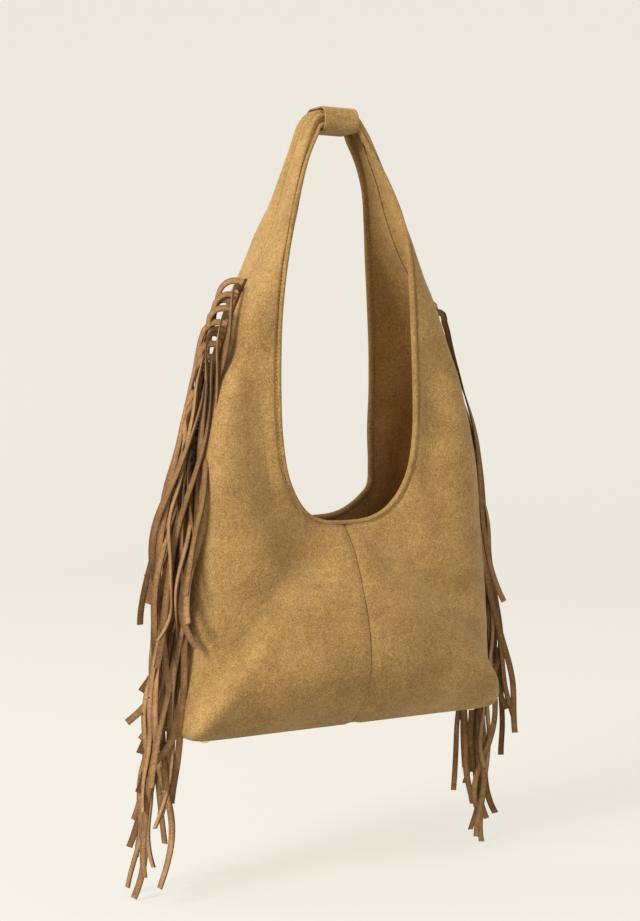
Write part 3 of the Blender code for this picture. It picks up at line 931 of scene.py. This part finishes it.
@dataclass
class BaseAndFeet:
    """The flat suede base with its lining cover and the domed feet."""

    suede: bpy.types.Material
    lining: bpy.types.Material
    board: bpy.types.Material
    gold: bpy.types.Material
    steel: bpy.types.Material
    shell: SewnShell
    foot_x: float = 136.0 * MM
    foot_y: float = 30.0 * MM
    foot_radius: float = 5.6 * MM
    foot_height: float = 4.9 * MM

    def outline(self) -> np.ndarray:
        """Return the foot of the walls as a closed line."""
        at = spread(BASE_STATION, LAST, 30)
        lines = []
        for side, face, forward in (
            (Side.RIGHT, Face.FRONT, True),
            (Side.LEFT, Face.FRONT, False),
            (Side.LEFT, Face.BACK, True),
            (Side.RIGHT, Face.BACK, False),
        ):
            pattern = self.shell.patterns[side, face]
            line = pattern.finish(pattern.raw(at, np.array((1.0,)))[:, 0])
            lines.append(line[1:] if forward else line[::-1][1:])
        return np.concatenate(lines)

    def slab(self, name: str, inset: float, low: float, thick: float, sag: float) -> bpy.types.Object:
        """Return a soft-edged slab that fills the base's outline.

        Args:
            name: The piece's name.
            inset: Distance inside the foot of the walls.
            low: Height of its underside above the base.
            thick: Its thickness.
            sag: How far its middle hangs lower.

        Returns:
            The linked object.
        """
        outline = self.outline()
        centre = np.array((outline[:, 0].mean(), 0.0, -BASE_DROP))
        half = np.array((0.155, 0.045))
        shares = np.concatenate([spread(1.0, 0.9, 5), spread(0.8, 0.1, 8)])
        rings = []
        for top in (False, True):
            layer = []
            for share in shares:
                flat = centre + (outline - centre) * share
                flat[:, :2] = centre[:2] + (flat[:, :2] - centre[:2]) * (1 - inset / half)
                edge = 0.35 * thick if share == 1.0 else 0.0
                level = thick - edge if top else edge
                droop = sag * (1 - share**2)
                flat[:, 2] = -BASE_DROP + low + level - droop
                layer.append(flat)
            rings += layer if top else layer[::-1]
        return swept_piece(name, np.array(rings), closed=False)

    def make_foot(self, name: str, x: float, y: float) -> bpy.types.Object:
        """Return one foot: a domed head with a stepped rim, its collar and its shank.

        Args:
            name: The piece's name.
            x: Its place along the base.
            y: Its place across the base.

        Returns:
            The linked object.
        """
        bpy.ops.object.select_all(action="DESELECT")
        top = -BASE_DROP - 0.2 * MM
        bpy.ops.mesh.primitive_uv_sphere_add(
            segments=40, ring_count=20, radius=self.foot_radius, location=(x, y, top)
        )
        foot = bpy.context.active_object
        foot.name = name
        bpy.ops.object.mode_set(mode="EDIT")
        bpy.ops.mesh.select_all(action="SELECT")
        bpy.ops.mesh.bisect(
            plane_co=(x, y, top), plane_no=(0, 0, 1), use_fill=True, clear_outer=True, threshold=1e-6
        )
        bpy.ops.mesh.select_all(action="DESELECT")
        bpy.ops.object.mode_set(mode="OBJECT")
        lowest = self.foot_height / self.foot_radius
        for vertex in foot.data.vertices:
            vertex.co.z *= lowest
        for polygon in foot.data.polygons:
            polygon.select = polygon.normal.z > 0.9
        bpy.ops.object.mode_set(mode="EDIT")
        bpy.ops.mesh.select_mode(type="FACE")
        bpy.ops.mesh.inset(thickness=0.7 * MM)
        bpy.ops.mesh.extrude_region_move(TRANSFORM_OT_translate={"value": (0, 0, -0.0004)})
        bpy.ops.mesh.inset(thickness=self.foot_radius - 0.7 * MM - 1.5 * MM)
        bpy.ops.mesh.extrude_region_move(TRANSFORM_OT_translate={"value": (0, 0, 0.0057)})
        bpy.ops.mesh.select_all(action="DESELECT")
        bpy.ops.object.mode_set(mode="OBJECT")
        bevel = foot.modifiers.new("Rolled rim", "BEVEL")
        bevel.width = 0.25 * MM
        bevel.segments = 3
        bevel.limit_method = "ANGLE"
        bevel.angle_limit = math.radians(40)
        bpy.ops.object.select_all(action="DESELECT")
        foot.select_set(True)
        bpy.context.view_layer.objects.active = foot
        bpy.ops.object.modifier_apply(modifier=bevel.name)
        foot.data.transform(foot.matrix_world)
        foot.matrix_world = Matrix.Identity(4)
        tidy_normals(foot, 35.0)
        return foot

    def build(self) -> None:
        """Make the base, its cover and the feet, and finish the hidden stiffener and washers."""
        under = self.slab("suede_base", 3.0 * MM, 0.1 * MM, 1.5 * MM, 0.0)
        dress(under, self.suede, ["base_panel"])
        cover = self.slab("cloth_base_cover", 5.5 * MM, 6.6 * MM, 0.8 * MM, 0.2 * MM)
        dress(cover, self.lining, ["lining_base"])
        for face, side in ((face, side) for face in Face for side in Side):
            name = f"{face.name.lower()}_{side.name.lower()}"
            x, y = side.value * self.foot_x - SWAY, -face.value * self.foot_y
            foot = self.make_foot(f"gold_foot_{name}", x, y)
            dress(foot, self.gold, [f"foot_{name}"])
            self.refinish(f"foot_washer_{name}", self.steel)
        self.refinish("base_board", self.board)

    @staticmethod
    def refinish(name: str, material: bpy.types.Material) -> None:
        """Give a CAD node that stays as it is its finish."""
        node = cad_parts[name]
        node.data.materials.clear()
        node.data.materials.append(material)


# ---- The cut fringe ----


@dataclass(frozen=True)
class Fall:
    """How one side's strands leave their seam and hang."""

    seed: int
    fan: float  # how far they aim backwards, on average
    forwards: tuple[float, float]  # share thrown forwards, in the upper part and below it
    radius: float  # share of the full radius at which they bend over
    curl: float
    lean: float
    faced: tuple[float, float]  # how far their faces turn forwards, in radians


FALLS = {
    Side.LEFT: Fall(20, 0.0, (0.12, 0.16), 1.0, 0.36, 0.10, (0.2, 1.7)),
    Side.RIGHT: Fall(43, 0.5, (0.0, 0.0), 0.65, 0.24, -0.02, (1.2, 2.7)),
}
UPPER_PART = 0.38  # share of the strands that counts as the upper part
BACK_FROM = (0.58, 0.62)  # throws above this aim backwards, in the upper part and below it


@dataclass
class CutFringe:
    """One side's fringe: strands cut from a strip, sewn in the seam and left to fall.

    The strands leave the seam square to it, bend over and settle under a light downward pull,
    their own curl, the shell beside them and each other.
    """

    side: Side
    suede: bpy.types.Material
    shell: SewnShell
    strands: int = 42
    top: float = 387.0 * MM
    pitch: float = 6.45 * MM
    width: float = 5.8 * MM
    thickness: float = 1.4 * MM
    length: float = 277.0 * MM
    nodes: int = 40
    steps: int = 260
    spacing: float = 4.8 * MM
    clearance: float = 2.6 * MM
    field_step: float = 3.0 * MM
    stray: float = 80.0 * MM
    pull: float = 2.2  # downward acceleration while the strands settle
    tick: float = 0.005
    damping: float = 0.93
    rounds: int = 5
    stiffness: float = 0.11
    pairs_every: int = 6

    def __post_init__(self) -> None:
        """Lay out the roots along the seam and the field that keeps strands off the shell."""
        self.out = float(self.side.value)
        self.fall = FALLS[self.side]
        self.rest = self.length / (self.nodes - 1)
        self.line, self.run = self.seam_line()
        self.roots, self.tangents, self.normals = self.seam_frames(
            (np.arange(self.strands) + 0.5) * self.pitch
        )
        self.field = self.depth_field()

    def seam_line(self) -> tuple[np.ndarray, np.ndarray]:
        """Return the side seam from the handle down, and its run measured from the fringe's top."""
        front = self.shell.patterns[self.side, Face.FRONT]
        line = front.finish(front.raw(spread(3.0, BASE_STATION, 400), np.array((1.0,)))[:, 0])
        line[:, 1] = 0.0
        run = runs(line)
        return line, run - float(np.interp(BASE_DROP - self.top, -line[:, 2], run))

    def seam_frames(self, stations: np.ndarray) -> tuple[np.ndarray, np.ndarray, np.ndarray]:
        """Return seam points, directions down the seam and outward normals.

        Args:
            stations: Runs along the seam from the fringe's top.

        Returns:
            Points, tangents and normals, one row per station.
        """
        here = sample(stations, self.run, self.line)
        tangent = unit(sample(stations + 4 * MM, self.run, self.line) - here)
        normal = np.stack([-tangent[:, 2], np.zeros(len(stations)), tangent[:, 0]], axis=1)
        normal *= np.where(normal[:, :1] * self.out > 0, 1.0, -1.0)
        return here, tangent, normal

    def depth_field(self) -> np.ndarray:
        """Return the shell's half depth over a grid of (outward, down) places."""
        front = self.shell.patterns[self.side, Face.FRONT]
        points = front.finish(front.raw(spread(2.0, LAST, 600), spread(0.0, 1.0, 200))).reshape(-1, 3)
        columns, rows = 80, 180
        i = np.rint(points[:, 0] * self.out / self.field_step).astype(int)
        j = np.rint(-points[:, 2] / self.field_step).astype(int)
        keep = (i >= 0) & (i < columns) & (j >= 0) & (j < rows)
        total, count = np.zeros((rows, columns)), np.zeros((rows, columns))
        np.add.at(total, (j[keep], i[keep]), np.abs(points[keep, 1]))
        np.add.at(count, (j[keep], i[keep]), 1.0)
        field_of_depth = np.full((rows, columns), -0.2)
        across = np.arange(columns)
        for row in range(rows):
            known = across[count[row] > 0]
            if len(known) < 2:
                continue
            depth = total[row, known] / count[row, known]
            beyond = 1.6 * self.field_step * np.maximum(across - known[-1], 0)
            field_of_depth[row] = np.interp(across, known, depth) - beyond
        return field_of_depth

    def start_paths(self, rng: np.random.Generator) -> np.ndarray:
        """Return the strands' own curled shape, from which they settle.

        Args:
            rng: The seeded source of variation.

        Returns:
            Strand points.
        """
        count, share = self.strands, np.linspace(0, 1, self.nodes)
        place = np.arange(count) / count
        fan = rng.normal(self.fall.fan, 0.28, count)
        thrown = rng.random(count)
        upper = place < UPPER_PART
        forwards = np.where(upper, *self.fall.forwards)
        fan = np.where(thrown < forwards, -rng.uniform(0.6, 1.1, count), fan)
        fan = np.where(thrown > np.where(upper, *BACK_FROM), rng.uniform(0.5, 1.2, count), fan)
        aim = unit(self.normals + np.stack([0 * fan, fan, rng.uniform(-0.2, 0.3, count)], axis=1))
        radius = rng.uniform(8.0, 14.0, count) * self.fall.radius * MM
        down = np.array((0.0, 0.0, -1.0))
        waves = np.zeros((count, self.nodes, 3))
        for cycles, size in ((1.0, 0.13), (2.3, 0.08), (4.5, 0.035)):
            phase = rng.uniform(0, 2 * math.pi, (count, 2))
            amount = rng.normal(0, size, (count, 2))
            for c in range(2):
                turn = 2 * math.pi * cycles * share[None, :] + phase[:, c : c + 1]
                waves[:, :, c] += amount[:, c : c + 1] * np.sin(turn)
        curl = rng.gamma(2.0, self.fall.curl, count)
        curl = curl * np.where(rng.random(count) < 0.22, -0.6, 1.0)
        heading = rng.normal(-0.35, 0.7, count)
        tip = np.clip((share - rng.uniform(0.74, 0.86, (count, 1))) / 0.2, 0, 1) ** 1.3
        waves[:, :, 0] += self.out * self.fall.lean
        waves[:, :, 0] += tip * (curl * np.cos(heading) * self.out)[:, None]
        waves[:, :, 1] += tip * (curl * np.sin(heading))[:, None]
        direction = np.zeros((count, self.nodes, 3))
        for k in range(count):
            bend = np.clip((share * self.length - 4 * MM) / (radius[k] * 1.5), 0, 1)
            angle = np.arccos(np.clip(aim[k] @ down, -1, 1)) * ease(bend)
            side = unit(down - aim[k] * float(aim[k] @ down))
            direction[k] = np.cos(angle)[:, None] * aim[k] + np.sin(angle)[:, None] * side
        free = ease((share * self.length - 10 * MM) / (30 * MM))[None, :, None]
        direction = unit(direction + waves * free)
        steps = np.concatenate([np.zeros((count, 1, 3)), direction[:, :-1] * self.rest], axis=1)
        return self.roots[:, None, :] + self.normals[:, None, :] * 1.2 * MM + np.cumsum(steps, axis=1)

    def settle(self, rng: np.random.Generator) -> np.ndarray:
        """Return the strands after a fixed number of settling steps.

        Args:
            rng: The seeded source of variation.

        Returns:
            Strand points.
        """
        p = self.start_paths(rng)
        own_bend = {reach: self.bends(p, reach) for reach in (1, 4)}
        anchor = p[:, :2].copy()
        before = p.copy()
        fall = np.array((0.0, 0.0, -self.pull)) * self.tick**2
        pairs = (np.zeros(0, int), np.zeros(0, int))
        for step in range(self.steps):
            p, before = p + (p - before) * self.damping + fall, p
            if step % self.pairs_every == 0:
                pairs = self.close_pairs(p)
            for _ in range(self.rounds):
                p[:, :2] = anchor
                for parity in (0, 1):
                    a, b = p[:, parity:-1:2], p[:, parity + 1 :: 2]
                    gap = b - a
                    size = np.linalg.norm(gap, axis=2, keepdims=True)
                    fix = gap * (0.5 - 0.5 * self.rest / np.maximum(size, 1e-9))
                    a += fix
                    b -= fix
                for reach, bend in own_bend.items():
                    off = self.stiffness * (self.bends(p, reach) - bend)
                    p[:, reach:-reach] += off
                    p[:, 2 * reach :] -= 0.5 * off
                    p[:, : -2 * reach] -= 0.5 * off
            self.keep_apart(p, pairs)
            self.keep_off_shell(p)
            p[:, :, 1] = np.clip(p[:, :, 1], -self.stray, self.stray)
        p[:, :2] = anchor
        return p

    @staticmethod
    def bends(p: np.ndarray, reach: int) -> np.ndarray:
        """Return how strands bend at each point, measured over a reach of points either way."""
        return p[:, 2 * reach :] + p[:, : -2 * reach] - 2 * p[:, reach:-reach]

    def close_pairs(self, p: np.ndarray) -> tuple[np.ndarray, np.ndarray]:
        """Return pairs of points of different strands that are near enough to touch soon."""
        flat = p.reshape(-1, 3).astype(np.float32)
        square = (flat * flat).sum(axis=1)
        gap = square[:, None] + square[None, :] - 2 * flat @ flat.T
        first, second = np.nonzero(np.triu(gap < (self.spacing + 5 * MM) ** 2, 1))
        apart = first // self.nodes != second // self.nodes
        free = (first % self.nodes > 3) | (second % self.nodes > 3)
        return first[apart & free], second[apart & free]

    def keep_apart(self, p: np.ndarray, pairs: tuple[np.ndarray, np.ndarray]) -> None:
        """Push strands that touch away from each other, in place.

        Args:
            p: Strand points.
            pairs: Numbers of the points to test.
        """
        flat = p.reshape(-1, 3)
        first, second = pairs
        gap = flat[first] - flat[second]
        size = np.sqrt((gap * gap).sum(axis=1)) + 1e-9
        near = size < self.spacing
        first, second = first[near], second[near]
        push = gap[near] * (0.35 * (self.spacing / size[near] - 1))[:, None]
        hits = np.bincount(first, minlength=len(flat)) + np.bincount(second, minlength=len(flat))
        for c in range(3):
            move = np.bincount(first, push[:, c], len(flat))
            move -= np.bincount(second, push[:, c], len(flat))
            flat[:, c] += move / np.sqrt(np.maximum(hits, 1))

    def keep_off_shell(self, p: np.ndarray) -> None:
        """Hold the strands outside the shell, in place."""
        rows, columns = self.field.shape
        u = np.clip(p[:, 2:, 0] * self.out / self.field_step, 0, columns - 2.001)
        v = np.clip(-p[:, 2:, 2] / self.field_step, 0, rows - 2.001)
        i, j = u.astype(int), v.astype(int)
        fu, fv = u - i, v - j
        a, b = self.field[j, i], self.field[j, i + 1]
        c, d = self.field[j + 1, i], self.field[j + 1, i + 1]
        depth = (a * (1 - fu) + b * fu) * (1 - fv) + (c * (1 - fu) + d * fu) * fv
        slope_out = np.clip(((b - a) * (1 - fv) + (d - c) * fv) / self.field_step, -4, 4)
        slope_down = np.clip(((c - a) * (1 - fu) + (d - b) * fu) / self.field_step, -4, 4)
        size = np.sqrt(1 + slope_out**2 + slope_down**2)
        short = np.clip(self.clearance - (np.abs(p[:, 2:, 1]) - depth) / size, 0, 2.5 * MM) / size
        short = np.where(depth < -0.1, 0.0, short)
        p[:, 2:, 0] -= short * slope_out * self.out
        p[:, 2:, 1] += short * np.where(p[:, 2:, 1] < 0, -1.0, 1.0)
        p[:, 2:, 2] += short * slope_down

    def section(self, width: float) -> np.ndarray:
        """Return a strand's rounded, slightly cupped section as (across, up) pairs."""
        w, h = width / 2, self.thickness / 2
        cup = 0.25 * MM
        low = [(-w, -0.45 * h), (-w * 0.9, -h), (0.0, -h + cup), (w * 0.9, -h), (w, -0.45 * h)]
        high = [(w, 0.45 * h), (w * 0.9, h), (0.0, h + cup), (-w * 0.9, h), (-w, 0.45 * h)]
        return np.array(low + high)

    def ribbon(
        self, path: np.ndarray, tangent: np.ndarray, turn: np.ndarray, width: float
    ) -> np.ndarray:
        """Return one strand's sections.

        Args:
            path: The strand's points from root to tip.
            tangent: The seam's direction, which the strand's width follows at its root.
            turn: How far the strand's face turns forwards, at each of the path's points.
            width: The strand's width.

        Returns:
            Sections by corners by xyz.
        """
        fine = spread(0, len(path) - 1, 2 * (len(path) - 1) + 1)
        line = spline(extend(path), fine)
        along = unit(np.gradient(line, axis=0))
        turns = np.interp(fine, np.arange(len(path)), turn)
        corners = self.section(width)
        across = tangent
        sections = []
        for k, t in enumerate(along):
            face = np.array((self.out * math.cos(turns[k]), -math.sin(turns[k]), 0.15))
            wanted = np.cross(t, face)
            wanted = unit(wanted) * (1.0 if float(wanted @ across) >= 0 else -1.0)
            pull = 0.0 if k < 3 else 0.13
            across = across * (1 - pull) + wanted * pull
            across = unit(across - t * float(across @ t))
            up = np.cross(t, across)
            sections.append(line[k] + corners[:, :1] * across + corners[:, 1:] * up)
        return np.array(sections)

    def header(self) -> np.ndarray:
        """Return the sections of the strip's uncut edge, which stands in the seam."""
        here, _, normal = self.seam_frames(spread(-1 * MM, self.strands * self.pitch + 1 * MM, 120))
        corners = np.array(((-1.4, -0.6), (2.0, -0.6), (2.0, 0.6), (-1.4, 0.6))) * MM
        level = np.array((0.0, 1.0, 0.0))
        return np.stack([here + normal * reach + level * y for reach, y in corners], axis=1)

    def build(self) -> None:
        """Settle the strands and make the fringe as one piece."""
        rng = np.random.default_rng(self.fall.seed)
        runs = [self.header()]
        share = np.linspace(0, 1, self.nodes)
        for path, tangent in zip(self.settle(rng), self.tangents):
            ranges = (self.fall.faced, (0.1, 0.5), (0, 6.28))
            final, swing, phase = (rng.uniform(low, high) for low, high in ranges)
            turn = final * ease((share - 0.08) / 0.5)
            turn = turn + swing * np.sin(6 * share + phase) * ease(share / 0.3)
            runs.append(self.ribbon(path, tangent, turn, self.width * rng.uniform(0.9, 1.06)))
        tones = np.concatenate([[0.4], rng.uniform(0.0, 1.0, self.strands)])
        # Share of painted shade at each corner of a strand's section: full at its sides, less near
        # them, none mid-face.
        raw = np.array((1.0, 0.45, 0.0, 0.45, 1.0, 1.0, 0.45, 0.0, 0.45, 1.0))
        points, faces, first = [], [], 0
        edge_shade_values, tone_values = [], []
        for sections, tone in zip(runs, tones):
            edge_shade_values.append(np.tile(raw[: sections.shape[1]], len(sections)))
            tone_values.append(np.full(sections.shape[0] * sections.shape[1], tone))
            count, around = sections.shape[:2]
            faces += tube_faces(count, around, first) + cap_faces(count, around, first)
            points.append(sections.reshape(-1, 3))
            first += count * around
        word = self.side.name.lower()
        values = {"cut_edge": np.concatenate(edge_shade_values), "strand_tone": np.concatenate(tone_values)}
        piece = mesh_object(f"cut_fringe_{word}", np.concatenate(points), faces, values)
        dress(piece, self.suede, [f"{word}_fringe"])


# ---- Studio ----


# Each soft light: its name, its place (sideways, towards the camera, up), its side and its watts.
SOFTBOXES = (
    ("key_softbox", (-2.0, 2.0, 1.45), 1.1, 88.0),
    ("side_softbox", (-2.9, 0.1, 1.2), 1.1, 24.0),
    ("fill_softbox", (2.0, 2.1, 0.7), 2.2, 16.0),
    ("top_softbox", (0.0, -0.3, 2.0), 1.6, 5.0),
)


@dataclass
class Studio:
    """Pale sweep, soft light and the camera."""

    floor: float = -0.6625
    focal: float = 1640.2
    yaw: float = 0.5163
    pitch: float = 0.0557
    aim_x: float = -0.0062
    aim_z: float = 0.3104 - 0.518
    distance: float = 1.4625

    def build_camera(self) -> None:
        """Place the camera in front of the bag, turned towards its left end."""
        data = bpy.data.cameras.new("studio_camera")
        data.sensor_fit = "HORIZONTAL"
        data.sensor_width = 36.0
        data.lens = self.focal / 640.0 * 36.0
        data.clip_start, data.clip_end = 0.05, 50.0
        camera = bpy.data.objects.new("studio_camera", data)
        bpy.context.scene.collection.objects.link(camera)
        right = Vector((math.cos(self.yaw), -math.sin(self.yaw), 0.0))
        level = Vector((math.sin(self.yaw), math.cos(self.yaw), 0.0))
        camera.location = right * self.aim_x - level * self.distance + Vector((-SWAY, 0, self.aim_z))
        forward = level * math.cos(self.pitch) - Vector((0, 0, math.sin(self.pitch)))
        camera.rotation_euler = forward.to_track_quat("-Z", "Y").to_euler()
        bpy.context.scene.camera = camera

    def build_sweep(self) -> None:
        """Make the round floor that curves up into a wall on every side, lit almost evenly."""
        profile = [(0.0, 0.0), (1.0, 0.0), (2.2, 0.0)]
        for a in spread(0.1, math.pi / 2, 14):
            profile.append((2.2 + 1.6 * math.sin(a), 1.6 - 1.6 * math.cos(a)))
        profile.append((3.8, 5.0))
        around = 64
        points = []
        for reach, up in profile:
            for k in range(around):
                angle = 2 * math.pi * k / around
                points.append((reach * math.cos(angle), reach * math.sin(angle), self.floor + up))
        mesh = bpy.data.meshes.new("pale_sweep")
        mesh.from_pydata(points, [], tube_faces(len(profile), around))
        mesh.validate()
        mesh.shade_smooth()
        sweep = bpy.data.objects.new("pale_sweep", mesh)
        bpy.context.scene.collection.objects.link(sweep)
        bench = NodeBench("pale_paper")
        bench.preset(bench.shader, {"Base Color": (0.22, 0.215, 0.21, 1.0), "Roughness": 1.0})
        bench.preset(bench.shader, {"Specular IOR Level": 0.0, "Emission Strength": 0.775})
        bench.preset(bench.shader, {"Emission Color": (0.863, 0.823, 0.731, 1.0)})
        mesh.materials.append(bench.material)
        sweep.visible_diffuse = False

    def add_light(
        self, name: str, place: tuple[float, float, float], size: float, power: float
    ) -> None:
        """Add a soft square light that faces the bag.

        Args:
            name: The light's name.
            place: Its position as (sideways, towards the camera, up) from the bag.
            size: Its side.
            power: Its power in watts.
        """
        data = bpy.data.lights.new(name, "AREA")
        data.size = size
        data.energy = power
        lamp = bpy.data.objects.new(name, data)
        level = Vector((math.sin(self.yaw), math.cos(self.yaw), 0.0))
        right = Vector((math.cos(self.yaw), -math.sin(self.yaw), 0.0))
        lamp.location = right * place[0] - level * place[1] + Vector((0, 0, place[2] - 0.25))
        target = Vector((0, 0, -0.28))
        lamp.rotation_euler = (target - lamp.location).to_track_quat("-Z", "Y").to_euler()
        bpy.context.scene.collection.objects.link(lamp)

    def build(self) -> None:
        """Make the whole studio."""
        self.build_camera()
        self.build_sweep()
        for light in SOFTBOXES:
            self.add_light(*light)
        world = bpy.data.worlds.new("studio_air")
        world.use_nodes = True
        air = world.node_tree.nodes["Background"]
        air.inputs["Color"].default_value = (0.95, 0.93, 0.88, 1.0)
        air.inputs["Strength"].default_value = 0.58
        bpy.context.scene.world = world
        bpy.context.scene.view_settings.view_transform = "Standard"


def main() -> None:
    """Build every piece of the bag and its studio."""
    logging.basicConfig(level=logging.INFO, format="%(message)s")
    Studio().build()
    body = SuedeFinish(
        "golden_suede",
        deep=(0.28, 0.156, 0.049),
        middle=(0.41, 0.241, 0.082),
        light=(0.53, 0.33, 0.122),
    ).build()
    tape = SuedeFinish(
        "tape_suede", deep=(0.27, 0.15, 0.048), middle=(0.38, 0.222, 0.076), light=(0.50, 0.31, 0.115)
    ).build()
    strand = SuedeFinish(
        "fringe_suede",
        deep=(0.26, 0.138, 0.056),
        middle=(0.37, 0.207, 0.088),
        light=(0.48, 0.285, 0.130),
        patch_scale=60.0,
        grain_height=0.0002,
        # deep brown of the painted shade on the strands' sides, for the shade between strands
        cut_edge=(0.085, 0.038, 0.014),
    ).build()
    # The lining is the same suede as the outside; its deeper tones sit a little above the body suede's
    # as painted light on the shaded inner faces of the arms.
    lining = SuedeFinish(
        "lining_microsuede",
        deep=(0.31, 0.170, 0.050),
        middle=(0.43, 0.248, 0.080),
        light=(0.53, 0.32, 0.112),
    ).build()
    thread = ThreadFinish("brown_thread", (0.13, 0.07, 0.025)).build()
    gold = MetalFinish("pale_gold", (0.86, 0.70, 0.42), 0.22).build()
    steel = MetalFinish("washer_steel", (0.56, 0.56, 0.55), 0.4).build()
    board = BoardFinish("fibre_board").build()

    shell = SewnShell(body, tape, lining, thread)
    shell.build()
    KeeperBand(body).build()
    BaseAndFeet(body, lining, board, gold, steel, shell).build()
    for side in Side:
        CutFringe(side, strand, shell).build()


if __name__ == "__main__":
    main()
